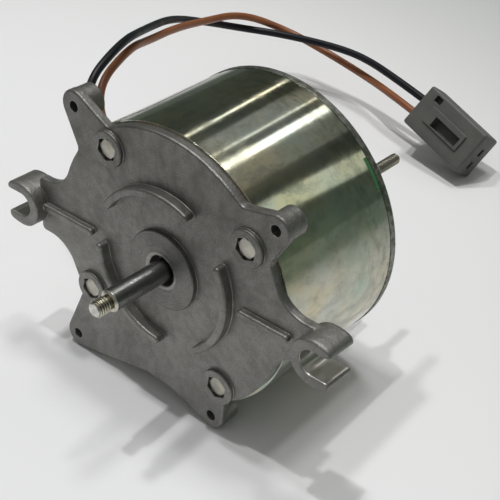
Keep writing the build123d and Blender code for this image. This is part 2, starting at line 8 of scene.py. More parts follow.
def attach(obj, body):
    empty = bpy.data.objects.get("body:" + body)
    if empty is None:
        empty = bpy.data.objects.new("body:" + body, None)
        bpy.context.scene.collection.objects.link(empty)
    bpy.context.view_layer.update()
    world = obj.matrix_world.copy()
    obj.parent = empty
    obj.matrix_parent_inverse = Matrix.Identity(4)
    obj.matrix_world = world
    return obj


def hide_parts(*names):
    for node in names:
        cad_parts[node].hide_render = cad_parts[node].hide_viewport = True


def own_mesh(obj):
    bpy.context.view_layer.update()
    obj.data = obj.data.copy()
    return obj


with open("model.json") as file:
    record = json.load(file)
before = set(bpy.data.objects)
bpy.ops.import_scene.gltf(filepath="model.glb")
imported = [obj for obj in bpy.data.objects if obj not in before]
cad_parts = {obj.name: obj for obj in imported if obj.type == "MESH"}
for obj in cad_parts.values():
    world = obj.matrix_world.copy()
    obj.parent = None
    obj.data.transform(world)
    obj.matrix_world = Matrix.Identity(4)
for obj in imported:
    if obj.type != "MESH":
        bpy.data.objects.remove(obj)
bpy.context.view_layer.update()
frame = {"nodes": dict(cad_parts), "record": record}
scene = bpy.context.scene
scene.view_settings.view_transform = "Standard"
print("frame loaded:", len(frame["nodes"]), "nodes")

# camera
viewpoint = {
    "place": (0.243159, -0.245567, 0.239895),
    "azimuth": 39.998,
    "elevation": 33.839,
    "roll": 2.208,
    "focalPixels": 1243.385,
    "imageWidth": 500,
    "clipStart": 0.01,
}


def makeCamera(setup):
    azimuth, elevation, roll = [math.radians(setup[key]) for key in ("azimuth", "elevation", "roll")]
    back = Vector((math.sin(azimuth) * math.cos(elevation), -math.cos(azimuth) * math.cos(elevation),
                   math.sin(elevation)))
    right = Vector((math.cos(azimuth), math.sin(azimuth), 0))
    up = back.cross(right)
    side = right * math.cos(roll) + up * math.sin(roll)
    top = up * math.cos(roll) - right * math.sin(roll)
    camera = bpy.data.objects.new("camera", bpy.data.cameras.new("camera"))
    camera.data.sensor_fit = "HORIZONTAL"
    camera.data.lens = setup["focalPixels"] / setup["imageWidth"] * camera.data.sensor_width
    camera.data.clip_start = setup["clipStart"]
    camera.matrix_world = Matrix.Translation(setup["place"]) @ Matrix((side, top, back)).transposed().to_4x4()
    scene.collection.objects.link(camera)
    scene.camera = camera


makeCamera(viewpoint)
print("camera placed")


# Flow is one socket with the sums that are used, Sockets a node tree, Finish one material
class Flow:
    def __init__(self, finish, socket):
        self.finish = finish
        self.socket = socket

    def sum(self, operation, first, second):
        return self.finish.node("ShaderNodeMath", {"operation": operation}, {0: first, 1: second})

    def __add__(self, other):
        return self.sum("ADD", self, other)

    def __radd__(self, other):
        return self.sum("ADD", other, self)

    def __sub__(self, other):
        return self.sum("SUBTRACT", self, other)

    def __rsub__(self, other):
        return self.sum("SUBTRACT", other, self)

    def __mul__(self, other):
        return self.sum("MULTIPLY", self, other)

    def __rmul__(self, other):
        return self.sum("MULTIPLY", other, self)

    def __pow__(self, other):
        return self.sum("POWER", self, other)

    def least(self, other):
        return self.sum("MINIMUM", self, other)

    def most(self, other):
        return self.sum("MAXIMUM", self, other)

    def size(self):
        return self.sum("ABSOLUTE", self, 0.0)

    def ease(self, low, high):
        return self.finish.node("ShaderNodeMapRange", {"interpolation_type": "SMOOTHSTEP"},
                                {"Value": self, "From Min": low, "From Max": high})


class Sockets:
    def __init__(self, tree):
        self.tree = tree

    def node(self, kind, settings=None, feeds=None, out=0):
        made = self.tree.nodes.new(kind)
        for key, value in (settings or {}).items():
            if key == "stops":
                self.setStops(made.color_ramp, value)
            else:
                setattr(made, key, value)
        for key, value in (feeds or {}).items():
            self.feed(made.inputs[key], value)
        return Flow(self, made.outputs[out]) if out is not None else None

    def setStops(self, ramp, stops):
        while len(ramp.elements) < len(stops):
            ramp.elements.new(0.5)
        for element, (spot, colour) in zip(ramp.elements, stops):
            element.position = spot
            element.color = (*colour, 1)

    def feed(self, socket, value):
        if isinstance(value, Flow):
            self.tree.links.new(value.socket, socket)
        elif socket.type == "RGBA":
            socket.default_value = (*value, 1)
        else:
            socket.default_value = value

    def axes(self, vector=None):
        parts = self.node("ShaderNodeSeparateXYZ", feeds={"Vector": vector or self.place})
        return [Flow(self, socket) for socket in parts.socket.node.outputs]

    def blend(self, first, second, mask):
        return self.node("ShaderNodeMix", {"data_type": "RGBA"}, {0: mask, 6: first, 7: second}, 2)


class Finish(Sockets):
    def __init__(self, name):
        self.material = bpy.data.materials.new(name)
        self.material.use_nodes = True
        self.tree = self.material.node_tree
        self.tree.nodes.clear()
        self.shader = self.tree.nodes.new("ShaderNodeBsdfPrincipled")
        output = self.tree.nodes.new("ShaderNodeOutputMaterial")
        self.tree.links.new(self.shader.outputs[0], output.inputs["Surface"])
        self.place = self.node("ShaderNodeTexCoord", out="Object")

    def scaled(self, scale, shift=(0, 0, 0)):
        return self.node("ShaderNodeMapping", feeds={"Vector": self.place, "Location": shift, "Scale": scale})

    def noise(self, scale, detail, rough, place=None):
        feeds = {"Vector": place or self.place, "Scale": scale, "Detail": detail, "Roughness": rough}
        return self.node("ShaderNodeTexNoise", feeds=feeds)

    def patches(self, scale, detail, rough, low, high, place=None):
        return self.noise(scale, detail, rough, place).ease(low, high)

    def waves(self, kind, axis, scale, distortion):
        return self.node("ShaderNodeTexWave", {"wave_type": kind, kind.lower() + "_direction": axis},
                         {"Vector": self.place, "Scale": scale, "Distortion": distortion}, "Fac")

    def softEdges(self, radius):
        return self.node("ShaderNodeBevel", {"samples": 6}, {"Radius": radius})

    def edgeMask(self, rounded, low=0.01, high=0.22):
        flat = self.node("ShaderNodeNewGeometry", out="Normal")
        turn = self.node("ShaderNodeVectorMath", {"operation": "DOT_PRODUCT"}, {0: rounded, 1: flat}, "Value")
        return (1 - turn).ease(low, high)

    def bump(self, height, strength, distance, normal=None, width=0.1):
        feeds = {"Height": height, "Strength": strength, "Distance": distance, "Filter Width": width}
        if normal:
            feeds["Normal"] = normal
        return self.node("ShaderNodeBump", feeds=feeds)

    def set(self, feeds):
        for key, value in feeds.items():
            self.feed(self.shader.inputs[key], value)
        return self.material


# In the looks, a noise is its scale, detail and roughness, then the two levels its patches are eased between.
# Shares say how much of a colour a mask brings in, dulls how much roughness it adds, and relief is a bump's
# strength and height.

# the flange's two open hooks; the left one sits a little lower
hooks = {"center": 0.0678, "slotRadius": 0.0046, "leftHeight": -0.0013}

# cast flange: blasted grey casting, bright worn edges, machined hook slots and shaft hole, painted shade on its
# upper part
castLook = {
    "grey": (0.305, 0.301, 0.285),
    "darkGrey": (0.146, 0.143, 0.133),
    "worn": (0.62, 0.6, 0.57),
    "cut": (0.5, 0.485, 0.45),
    "roughness": 0.43,
    "cutRoughness": 0.26,
    "metal": 0.8,
    "mottle": (85, 5, 0.65, 0.35, 0.7),
    "skin": (330, 4, 0.6, 0.4, 0.62),
    "stain": (17, 4, 0.6, 0.42, 0.75),
    "speck": (2300, 1, 0.5, 0.56, 0.74),
    "wear": (300, 3, 0.65, 0.2, 0.65),
    "grain": (1250, 3, 0.7),
    "grainLevels": (0.4, 0.7),
    "turning": {"Scale": 2600.0, "Detail": 2.0, "Roughness": 0.6},
    "turningLevels": (0.3, 0.7),
    # heights over which the painted shade on the upper part comes in
    "paintedUpperShadeHeights": (-0.03, 0.045),
    "shares": {"mottle": 0.3, "stain": 0.3, "skin": 0.2, "handled": 0.55, "grain": 0.5, "hub": 0.25,
               "rings": 0.45, "edge": 0.85, "speck": 0.22, "lip": 0.32},
    "dulls": {"mottle": 0.1, "edge": -0.14, "rings": -0.14},
    "heights": {"grain": 0.9, "skin": 0.5, "mottle": 0.5},
    "relief": (0.65, 0.00013),
    "wornRound": 0.00045,
    "edgeRound": 0.0004,
    "hookStart": 0.0625,
    "hookBlend": 0.002,
    "hookRound": 0.0014,
    "jawBlend": (0.0012, 0.0022),
    "leftBlend": 0.01,
    "slotMargin": 0.0003,
    "slotBack": (-0.0052, -0.005),
    "lipRadius": 0.00715,
    "hubRadius": 0.0151,
    "line": 0.0002,
}


def castFinish(look):
    finish = Finish("castGrey")
    share, dull, rise = look["shares"], look["dulls"], look["heights"]
    x, _, z = finish.axes()
    mottle, skin, stain, speck, wear = [
        finish.patches(*look[key]) for key in ("mottle", "skin", "stain", "speck", "wear")]
    grain = finish.noise(*look["grain"])
    # painted shade: the colour darkens with height, for the shade on the flange's upper part
    handled = z.ease(*look["paintedUpperShadeHeights"])
    edge = finish.edgeMask(finish.softEdges(look["wornRound"])) * wear
    # slots of both hooks: a half round floor and two flat jaws
    over = x.size() - hooks["center"]
    height = z - (-1 * x).ease(0, look["leftBlend"]) * hooks["leftHeight"]
    floor = (over.least(0) ** 2 + height ** 2) ** 0.5
    slot = (hooks["slotRadius"] + look["slotMargin"] - floor).ease(0, look["line"])
    slot = slot * over.ease(*look["slotBack"])
    outside = (floor - hooks["slotRadius"]).ease(*look["jawBlend"])
    hook = (x.size() - look["hookStart"]).ease(0, look["hookBlend"]) * outside
    rounded = finish.softEdges(look["edgeRound"] + hook * look["hookRound"])
    # lip of the shaft hole and the turned hub about it
    radius = (x ** 2 + z ** 2) ** 0.5
    lip = (look["lipRadius"] - radius).ease(0, look["line"])
    cut = slot.most(lip * share["lip"])
    hub = (look["hubRadius"] - radius).ease(0, look["line"]) * (1 - lip)
    rings = finish.node("ShaderNodeTexNoise", {"noise_dimensions": "1D"}, {"W": radius, **look["turning"]})
    rings = rings.ease(*look["turningLevels"])
    dark = mottle * share["mottle"] + stain * share["stain"] + skin * share["skin"]
    # mottle, stain and skin are the casting's own tone; the height term adds painted shade
    dark = dark + handled * share["handled"]
    colour = finish.blend(look["grey"], look["darkGrey"], dark)
    grainy = grain.ease(*look["grainLevels"]) - speck
    colour = finish.blend(colour, look["darkGrey"], grainy * share["grain"])
    colour = finish.blend(colour, look["darkGrey"], hub * (share["hub"] + rings * share["rings"]))
    colour = finish.blend(colour, look["worn"], (edge * share["edge"]).most(speck * share["speck"]))
    colour = finish.blend(colour, look["cut"], cut)
    rough = look["roughness"] + mottle * dull["mottle"] + edge * dull["edge"] + hub * rings * dull["rings"]
    rough = rough - cut * (rough - look["cutRoughness"])
    relief = (grain * rise["grain"] + skin * rise["skin"] + mottle * rise["mottle"] + hub * rings) * (1 - cut)
    return finish.set({
        "Base Color": colour,
        "Roughness": rough,
        "Metallic": look["metal"],
        "Normal": finish.bump(relief, *look["relief"], rounded),
    })


# plated can and rear plate: bright zinc with clouded, faintly green and yellow passivation, and painted shade
# with scuffs towards the rear end
canLook = {
    "pale": (0.55, 0.55, 0.47),
    "green": (0.44, 0.51, 0.42),
    "yellow": (0.6, 0.55, 0.36),
    "warm": (0.6, 0.54, 0.39),
    "cool": (0.44, 0.48, 0.45),
    "cloud": (0.37, 0.38, 0.31),
    "rim": (0.36, 0.37, 0.31),
    "rimStart": 0.06,
    "roughness": 0.07,
    "haze": 0.06,
    # painted shade with scuffs towards the rear end: its colour and where it comes in
    "scuffAndShade": (0.24, 0.25, 0.2),
    "scuffAndShadeStart": 0.03,
    "scuffAndShadeEnd": 0.056,
    "drawn": (420, 9, 420),
}
rearPlateLook = {
    "pale": (0.46, 0.465, 0.44),
    "green": (0.4, 0.43, 0.39),
    "yellow": (0.48, 0.46, 0.38),
    "warm": (0.48, 0.45, 0.4),
    "cool": (0.4, 0.43, 0.43),
    "cloud": (0.3, 0.305, 0.29),
    "rim": (0.14, 0.145, 0.12),
    "rimStart": 0.0512,
    "roughness": 0.4,
    "haze": 0.12,
    "scuffAndShade": (0.26, 0.265, 0.25),
    "scuffAndShadeStart": 0.05,
    "scuffAndShadeEnd": 0.06,
    "drawn": (300, 12, 40),
}
# what both share; a place is the stretch and the shift of a noise
plating = {
    "tint": (19, 3, 0.55), "greenLevels": (0.5, 0.62), "yellowLevels": (0.52, 0.64),
    "bloom": (44, 2, 0.5), "bloomPlace": ((1, 0.8, 1), (0.7, 0.2, 0.4)), "warmLevels": (0.48, 0.64),
    "coolLevels": (0.5, 0.64), "clouds": (110, 5, 0.68, 0.45, 0.62),
    "cloudPlace": ((1, 0.6, 1), (0, 0, 0)), "patches": (230, 4, 0.6, 0.46, 0.62),
    "patchPlace": ((1, 0.7, 1), (0.3, 0.1, 0.2)), "scuffs": (170, 5, 0.7, 0.46, 0.6),
    "scuffPlace": ((1, 2.2, 1), (0.2, 0.5, 0.1)), "specks": (900, 2, 0.5, 0.66, 0.74),
    "chips": (420, 4, 0.7, 0.42, 0.58), "lines": (1, 3, 0.6), "lineDull": 0.05,
    # the rear share is painted shade, the scuffs share real scuffs
    "shares": {"warm": 0.8, "cool": 0.7, "clouds": 0.5, "patches": 0.4, "specks": 0.3, "rear": 0.25,
               "scuffs": 0.5, "rim": 0.35, "chips": 0.65},
    "cloudHeight": 0.3, "relief": (0.06, 0.0001), "rimBlend": 0.0004, "edgeRound": 0.0004,
}


def plateFinish(look, name):
    finish = Finish(name)
    share = plating["shares"]
    x, y, z = finish.axes()
    tint = finish.noise(*plating["tint"])
    bloom = finish.noise(*plating["bloom"], finish.scaled(*plating["bloomPlace"]))
    clouds = finish.patches(*plating["clouds"], finish.scaled(*plating["cloudPlace"]))
    patches = finish.patches(*plating["patches"], finish.scaled(*plating["patchPlace"]))
    scuffs = finish.patches(*plating["scuffs"], finish.scaled(*plating["scuffPlace"]))
    specks = finish.patches(*plating["specks"])
    chips = finish.patches(*plating["chips"])
    lines = finish.noise(*plating["lines"], finish.scaled(look["drawn"]))
    rim = ((x ** 2 + z ** 2) ** 0.5 - look["rimStart"]).ease(0, plating["rimBlend"])
    rear = y.ease(look["scuffAndShadeStart"], look["scuffAndShadeEnd"])
    colour = finish.blend(look["pale"], look["green"], tint.ease(*plating["greenLevels"]))
    colour = finish.blend(colour, look["yellow"], (1 - tint).ease(*plating["yellowLevels"]))
    colour = finish.blend(colour, look["warm"], bloom.ease(*plating["warmLevels"]) * share["warm"])
    colour = finish.blend(colour, look["cool"], (1 - bloom).ease(*plating["coolLevels"]) * share["cool"])
    cloudy = clouds * share["clouds"] + patches * share["patches"] + specks * share["specks"]
    colour = finish.blend(colour, look["cloud"], cloudy)
    # painted shade: the rear end is darkened for the floor's shadow that the metal mirrors, scuffs darkened
    # over it
    colour = finish.blend(colour, look["scuffAndShade"], (share["rear"] + scuffs * share["scuffs"]) * rear)
    colour = finish.blend(colour, look["rim"], rim * (share["rim"] + chips * share["chips"]))
    relief = lines + clouds * plating["cloudHeight"]
    return finish.set({
        "Base Color": colour,
        "Roughness": look["roughness"] + clouds * look["haze"] + lines * plating["lineDull"],
        "Metallic": 1.0,
        "Normal": finish.bump(relief, *plating["relief"], finish.softEdges(plating["edgeRound"])),
    })


# turned and ground steel: fine rings about the shaft axis
groundLook = {
    "colour": (0.32, 0.32, 0.31), "dark": (0.2, 0.2, 0.19), "roughness": 0.25, "rings": (1, 0, 0.5),
    "ringStretch": (2, 20000, 2), "ringWidth": 0.005, "blotch": (130, 3, 0.55, 0.45, 0.75),
    "shares": {"blotch": 0.6, "rings": 0.3}, "dulls": {"blotch": 0.04, "rings": 0.06},
    "relief": (0.8, 0.000026), "edgeRound": 0.00015,
}


def groundFinish(look):
    finish = Finish("groundSteel")
    share, dull = look["shares"], look["dulls"]
    rings = finish.noise(*look["rings"], finish.scaled(look["ringStretch"]))
    blotch = finish.patches(*look["blotch"])
    darkness = blotch * share["blotch"] + rings * share["rings"]
    return finish.set({
        "Base Color": finish.blend(look["colour"], look["dark"], darkness),
        "Roughness": look["roughness"] + rings * dull["rings"] + blotch * dull["blotch"],
        "Metallic": 1.0,
        "Normal": finish.bump(rings, *look["relief"], finish.softEdges(look["edgeRound"]), look["ringWidth"]),
    })


# plated thread: painted highlight on the end face, colour darker towards the roots
threadLook = {
    # bright is the colour of the painted highlight on the end face
    "crest": (0.62, 0.6, 0.51), "root": (0.2, 0.18, 0.12), "bright": (0.7, 0.69, 0.63),
    "rootRadius": 0.00255, "crestRadius": 0.00295, "endFace": -0.0323, "line": 0.0002, "roughness": 0.27,
    "blotch": (420, 3, 0.6, 0.4, 0.65), "blotchShare": 0.3, "blotchDull": 0.1, "relief": (0.1, 0.00005),
    "edgeRound": 0.00012,
}


def threadFinish(look):
    finish = Finish("threadSteel")
    x, y, z = finish.axes()
    radius = (x ** 2 + z ** 2) ** 0.5
    blotch = finish.patches(*look["blotch"])
    # painted highlight: the end face takes a paler colour, as if lit
    bright = (look["endFace"] - y).ease(-look["line"], look["line"])
    colour = finish.blend(look["root"], look["crest"], radius.ease(look["rootRadius"], look["crestRadius"]))
    colour = finish.blend(colour, look["bright"], bright)
    return finish.set({
        "Base Color": finish.blend(colour, look["root"], blotch * look["blotchShare"]),
        "Roughness": look["roughness"] + blotch * look["blotchDull"],
        "Metallic": 1.0,
        "Normal": finish.bump(blotch, *look["relief"], finish.softEdges(look["edgeRound"])),
    })


# zinc plated fasteners: pale heads, darker burnished thread ends behind the rear plate
fastenerLook = {
    "pale": (0.53, 0.51, 0.445), "dull": (0.42, 0.4, 0.345), "burnished": (0.36, 0.34, 0.28),
    "nutEnd": 0.0656, "line": 0.0002, "roughness": 0.3, "patchDull": 0.1, "endDull": -0.12, "metal": 0.9,
    "patches": (260, 4, 0.6, 0.3, 0.7), "grain": (1600, 2, 0.6), "relief": (0.15, 0.00008),
    "edgeRound": 0.0002,
}


def fastenerFinish(look):
    finish = Finish("zincFastener")
    y = finish.axes()[1]
    end = (y - look["nutEnd"]).ease(-look["line"], look["line"])
    patches = finish.patches(*look["patches"])
    grain = finish.noise(*look["grain"])
    colour = finish.blend(look["pale"], look["dull"], patches)
    return finish.set({
        "Base Color": finish.blend(colour, look["burnished"], end),
        "Roughness": look["roughness"] + patches * look["patchDull"] + end * look["endDull"],
        "Metallic": look["metal"],
        "Normal": finish.bump(grain, *look["relief"], finish.softEdges(look["edgeRound"])),
    })


# one recipe for the moulded, pressed and sintered pieces; a look may change its values
plainRecipe = {
    "metal": 0.0, "edge": 0.0002, "relief": 0.15, "reliefHeight": 0.00008, "patches": (4, 0.6, 0.3, 0.7),
    "grain": (2, 0.6), "patchDull": 0.08, "grainDull": 0.06, "wornShare": 0.6,
}


def plainFinish(name, changes):
    look = {**plainRecipe, "worn": changes["colour"], **changes}
    finish = Finish(name)
    patches = finish.patches(look["patchScale"], *look["patches"])
    grain = finish.noise(look["grainScale"], *look["grain"])
    rounded = finish.softEdges(look["edge"])
    colour = finish.blend(look["colour"], look["second"], patches)
    return finish.set({
        "Base Color": finish.blend(colour, look["worn"], finish.edgeMask(rounded) * look["wornShare"]),
        "Roughness": look["roughness"] + patches * look["patchDull"] + grain * look["grainDull"],
        "Metallic": look["metal"],
        "Normal": finish.bump(grain, look["relief"], look["reliefHeight"], rounded),
    })


plainLooks = {
    "spring_steel": {"colour": (0.3, 0.31, 0.33), "second": (0.22, 0.22, 0.25), "worn": (0.5, 0.5, 0.52),
                     "roughness": 0.32, "metal": 1.0, "patchScale": 300, "grainScale": 2200, "edge": 0.00008},
    "bearing_steel": {"colour": (0.42, 0.42, 0.43), "second": (0.36, 0.36, 0.37), "worn": (0.6, 0.6, 0.6),
                      "roughness": 0.14, "metal": 1.0, "patchScale": 120, "grainScale": 2600, "relief": 0.03},
    "bearing_cage": {"colour": (0.55, 0.55, 0.52), "second": (0.42, 0.42, 0.4), "worn": (0.7, 0.7, 0.68),
                     "roughness": 0.3, "metal": 1.0, "patchScale": 200, "grainScale": 1800},
    "ferrite": {"colour": (0.1, 0.1, 0.11), "second": (0.065, 0.065, 0.07), "worn": (0.2, 0.2, 0.21),
                "roughness": 0.6, "patchScale": 90, "grainScale": 1500, "relief": 0.3},
    "spacer_plastic": {"colour": (0.66, 0.63, 0.54), "second": (0.57, 0.54, 0.45), "roughness": 0.5,
                       "patchScale": 60, "grainScale": 900},
    "insulation": {"colour": (0.5, 0.12, 0.08), "second": (0.36, 0.08, 0.05), "roughness": 0.55,
                   "patchScale": 110, "grainScale": 1300},
    "phenolic": {"colour": (0.075, 0.05, 0.035), "second": (0.045, 0.03, 0.022), "roughness": 0.45,
                 "patchScale": 120, "grainScale": 1200},
    "carbon": {"colour": (0.05, 0.05, 0.054), "second": (0.03, 0.03, 0.033), "worn": (0.12, 0.12, 0.125),
               "roughness": 0.5, "patchScale": 300, "grainScale": 2400, "relief": 0.25},
    "brass_sheet": {"colour": (0.66, 0.5, 0.22), "second": (0.5, 0.36, 0.15), "worn": (0.82, 0.68, 0.36),
                    "roughness": 0.27, "metal": 1.0, "patchScale": 160, "grainScale": 1700},
    "choke_ferrite": {"colour": (0.085, 0.085, 0.09), "second": (0.06, 0.06, 0.065), "roughness": 0.55,
                      "patchScale": 240, "grainScale": 1900},
    "capacitor_case": {"colour": (0.42, 0.33, 0.09), "second": (0.34, 0.26, 0.07), "roughness": 0.3,
                       "patchScale": 150, "grainScale": 1000, "edge": 0.0008},
    "rubber": {"colour": (0.03, 0.03, 0.031), "second": (0.02, 0.02, 0.021), "worn": (0.06, 0.06, 0.06),
               "roughness": 0.62, "patchScale": 170, "grainScale": 1500, "edge": 0.0005},
    "connector": {"colour": (0.105, 0.105, 0.096), "second": (0.085, 0.085, 0.079),
                  "worn": (0.17, 0.17, 0.16), "roughness": 0.5, "patchScale": 120, "grainScale": 1900,
                  "edge": 0.0003, "relief": 0.25},
    "tinned_contact": {"colour": (0.62, 0.62, 0.6), "second": (0.52, 0.52, 0.5), "roughness": 0.28,
                       "metal": 1.0, "patchScale": 300, "grainScale": 2000},
}


# ridged pieces: the core's stacked sheets and the winding's enamelled turns
ridgedLooks = {
    "core_steel": {
        "name": "stackedSheet", "colour": (0.34, 0.34, 0.35), "valley": (0.2, 0.2, 0.21),
        "over": (0.3, 0.24, 0.19), "overShare": 0.5,
        "ridges": ("BANDS", "Y", 320.0, 0.4), "patches": (150, 4, 0.6, 0.5, 0.8),
        "roughness": 0.36, "patchDull": 0.2, "metal": 0.9, "relief": (0.3, 0.0001),
    },
    "copper_wire": {
        "name": "woundCopper", "colour": (0.6, 0.27, 0.11), "valley": (0.4, 0.15, 0.055),
        "over": (0.3, 0.11, 0.04), "overShare": 0.5,
        "ridges": ("RINGS", "Y", 280.0, 3.0), "patches": (90, 3, 0.6, 0.3, 0.7),
        "roughness": 0.26, "patchDull": 0.15, "metal": 0.85, "relief": (0.5, 0.0003),
    },
}


def ridgedFinish(look):
    finish = Finish(look["name"])
    ridges = finish.waves(*look["ridges"])
    patches = finish.patches(*look["patches"])
    colour = finish.blend(look["colour"], look["valley"], ridges)
    return finish.set({
        "Base Color": finish.blend(colour, look["over"], patches * look["overShare"]),
        "Roughness": look["roughness"] + patches * look["patchDull"],
        "Metallic": look["metal"],
        "Normal": finish.bump(ridges, *look["relief"]),
    })


# turned copper bars with brush tracks
copperLook = {
    "colour": (0.72, 0.4, 0.25), "worn": (0.34, 0.18, 0.12), "rings": (1, 3, 0.65),
    "ringStretch": (40, 2600, 40), "tracks": (1, 2, 0.5, 0.45, 0.65), "trackStretch": (20, 260, 20),
    "trackShare": 0.7, "roughness": 0.22, "ringDull": 0.12, "trackDull": 0.08, "relief": (0.12, 0.00006),
    "edgeRound": 0.00012,
}


def copperFinish(look):
    finish = Finish("copperBar")
    rings = finish.noise(*look["rings"], finish.scaled(look["ringStretch"]))
    tracks = finish.patches(*look["tracks"], finish.scaled(look["trackStretch"]))
    return finish.set({
        "Base Color": finish.blend(look["colour"], look["worn"], tracks * look["trackShare"]),
        "Roughness": look["roughness"] + rings * look["ringDull"] + tracks * look["trackDull"],
        "Metallic": 1.0,
        "Normal": finish.bump(rings, *look["relief"], finish.softEdges(look["edgeRound"])),
    })


# glass laminate: green lacquer over a fine weave
boardLook = {
    "lacquer": (0.035, 0.13, 0.05), "thread": (0.06, 0.2, 0.08), "weave": (420.0, 0.6),
    "patches": (120, 3, 0.6), "weaveShare": 0.5, "patchShare": 0.4, "roughness": 0.34, "patchDull": 0.15,
    "relief": (0.2, 0.00006), "edgeRound": 0.0001,
}


def boardFinish(look):
    finish = Finish("greenLaminate")
    weave = finish.waves("BANDS", "X", *look["weave"]) * finish.waves("BANDS", "Z", *look["weave"])
    patches = finish.noise(*look["patches"])
    paleness = weave * look["weaveShare"] + patches * look["patchShare"]
    return finish.set({
        "Base Color": finish.blend(look["lacquer"], look["thread"], paleness),
        "Roughness": look["roughness"] + patches * look["patchDull"],
        "Normal": finish.bump(weave, *look["relief"], finish.softEdges(look["edgeRound"])),
    })


# extruded lead insulation, rubbed and a little grainy
leadLooks = {
    "lead_black": {"name": "leadBlack", "colour": (0.0065, 0.007, 0.0095), "rubbed": (0.011, 0.012, 0.016),
                   "shine": 0.22},
    "lead_brown": {"name": "leadBrown", "colour": (0.22, 0.075, 0.028), "rubbed": (0.3, 0.115, 0.05),
                   "shine": 0.4},
}
insulation = {
    "rub": (140, 4, 0.6, 0.35, 0.75), "grain": (1700, 2, 0.6), "rubShare": 0.55, "grainShare": 0.15,
    "roughness": 0.36, "rubDull": 0.14, "rubHeight": 0.5, "relief": (0.1, 0.00006),
}


def leadFinish(look):
    finish = Finish(look["name"])
    rub = finish.patches(*insulation["rub"])
    grain = finish.noise(*insulation["grain"])
    paleness = rub * insulation["rubShare"] + grain * insulation["grainShare"]
    return finish.set({
        "Base Color": finish.blend(look["colour"], look["rubbed"], paleness),
        "Roughness": insulation["roughness"] + rub * insulation["rubDull"],
        "Specular IOR Level": look["shine"],
        "Normal": finish.bump(grain + rub * insulation["rubHeight"], *insulation["relief"]),
    })


finishes = {slot: plainFinish(slot, look) for slot, look in plainLooks.items()}
finishes["cast_flange"] = castFinish(castLook)
finishes["plated_can"] = plateFinish(canLook, "platedCan")
finishes["plated_plate"] = plateFinish(rearPlateLook, "platedPlate")
finishes["ground_steel"] = groundFinish(groundLook)
finishes["threadSteel"] = threadFinish(threadLook)
finishes["zinc_fastener"] = fastenerFinish(fastenerLook)
finishes["copper_bar"] = copperFinish(copperLook)
finishes["board"] = boardFinish(boardLook)
for slot, look in ridgedLooks.items():
    finishes[slot] = ridgedFinish(look)
for slot, look in leadLooks.items():
    finishes[slot] = leadFinish(look)

for entry in frame["record"]["subparts"]:
    node = frame["nodes"][entry["node"]]
    node.data.materials.clear()
    node.data.materials.append(finishes[entry["material_slot"]])
print("finishes made:", len(finishes))


# free leads, as smooth lines through the route's points
leadShape = {"diameter": 0.0035, "blackLength": 0.3258, "brownLength": 0.308, "roundSteps": 5, "order": 3,
             "lineSteps": 16}
blackRoute = [
    (-0.05286, 0.051, -0.01237), (-0.07058, 0.051, -0.01549), (-0.0845, 0.046, -0.007), (-0.094, 0.0495, 0.017),
    (-0.1005, 0.077, 0.026), (-0.1165, 0.107, 0.0175), (-0.132, 0.1385, 0.008), (-0.1405, 0.1665, -0.0045),
    (-0.1335, 0.1905, -0.0135), (-0.1145, 0.199, -0.0135), (-0.088, 0.204, -0.0125), (-0.0682, 0.2048, -0.0125),
    (-0.0426, 0.1979, -0.0137), (-0.02563, 0.19457, -0.01623),
]
brownRoute = [
    (-0.0539, 0.051, -0.00646), (-0.07162, 0.051, -0.00958), (-0.083, 0.053, -0.0055), (-0.0965, 0.058, 0.0125),
    (-0.105, 0.0855, 0.019), (-0.118, 0.1105, 0.0105), (-0.126, 0.1345, 0.006), (-0.1335, 0.161, -0.001),
    (-0.133, 0.1895, -0.005), (-0.116, 0.207, -0.015), (-0.09, 0.2065, -0.0185), (-0.0667, 0.2055, -0.0223),
    (-0.0446, 0.1943, -0.0194), (-0.028, 0.19076, -0.02186),
]


def leadCurve(name, route, slot, node):
    curve = bpy.data.curves.new(name, "CURVE")
    curve.dimensions = "3D"
    curve.bevel_depth = leadShape["diameter"] / 2
    curve.bevel_resolution = leadShape["roundSteps"]
    curve.use_fill_caps = True
    spline = curve.splines.new("NURBS")
    spline.points.add(len(route) - 1)
    for point, place in zip(spline.points, route):
        point.co = (*place, 1)
    spline.order_u = leadShape["order"]
    spline.use_endpoint_u = True
    spline.resolution_u = leadShape["lineSteps"]
    piece = bpy.data.objects.new(name, curve)
    scene.collection.objects.link(piece)
    curve.materials.append(finishes[slot])
    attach(piece, "motor_body")
    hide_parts(node)
    return piece


leadBlack = leadCurve("leadBlack", blackRoute, "lead_black", "lead_black")
leadBrown = leadCurve("leadBrown", brownRoute, "lead_brown", "lead_brown")
print("leads laid")


# distances in metres, the least angle of a sharp edge in degrees, digits kept when places are compared
meshRules = {"merge": 0.000001, "threadMerge": 0.000002, "onPlane": 0.000003, "cutMargin": 0.0000001,
             "sharpAngle": 32, "middleDigits": 5, "placeDigits": 6}


# pieces made from a bmesh
def newPiece(name, mesh, finish, body, nodes):
    bmesh.ops.remove_doubles(mesh, verts=mesh.verts, dist=meshRules["merge"])
    bmesh.ops.recalc_face_normals(mesh, faces=mesh.faces)
    data = bpy.data.meshes.new(name)
    mesh.to_mesh(data)
    mesh.free()
    data.materials.append(finishes[finish])
    data.shade_smooth()
    data.set_sharp_from_angle(angle=math.radians(meshRules["sharpAngle"]))
    piece = bpy.data.objects.new(name, data)
    scene.collection.objects.link(piece)
    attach(piece, body)
    if nodes:
        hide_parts(*nodes)
    return piece


